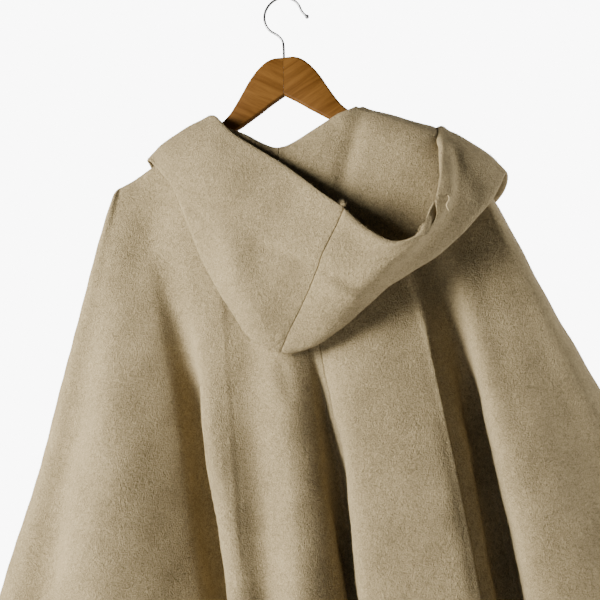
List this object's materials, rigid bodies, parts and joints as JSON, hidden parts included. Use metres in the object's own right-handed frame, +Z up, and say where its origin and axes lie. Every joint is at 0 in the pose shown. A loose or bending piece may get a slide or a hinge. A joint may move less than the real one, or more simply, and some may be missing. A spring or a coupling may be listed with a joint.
{
  "type": "hooded cape cardigan on hanger",
  "caption": "Open-fronted wool cape cardigan with a wide folded hood, hanging from a wooden hanger with a steel hook.",
  "frame": {"origin": "inside top of the hanger hook's arc, where a rail carries it", "axes": "+Z up, the open front of the garment faces -Y, its back and the hood face +Y, the wearer's left is +X"},
  "size_m": [1.0304, 0.203, 1.0034],
  "materials": {
    "wool": "napped boiled wool",
    "hanger_wood": "clear satin lacquer",
    "hook_steel": "drawn wire"
  },
  "bodies": {
    "root": {"back_left": "wool", "back_right": "wool", "front_left": "wool", "front_right": "wool", "hood_left": "wool", "hood_right": "wool", "hanger_arm_left": "hanger_wood", "hanger_arm_right": "hanger_wood", "hanger_hook": "hook_steel"}
  },
  "joints": []
}
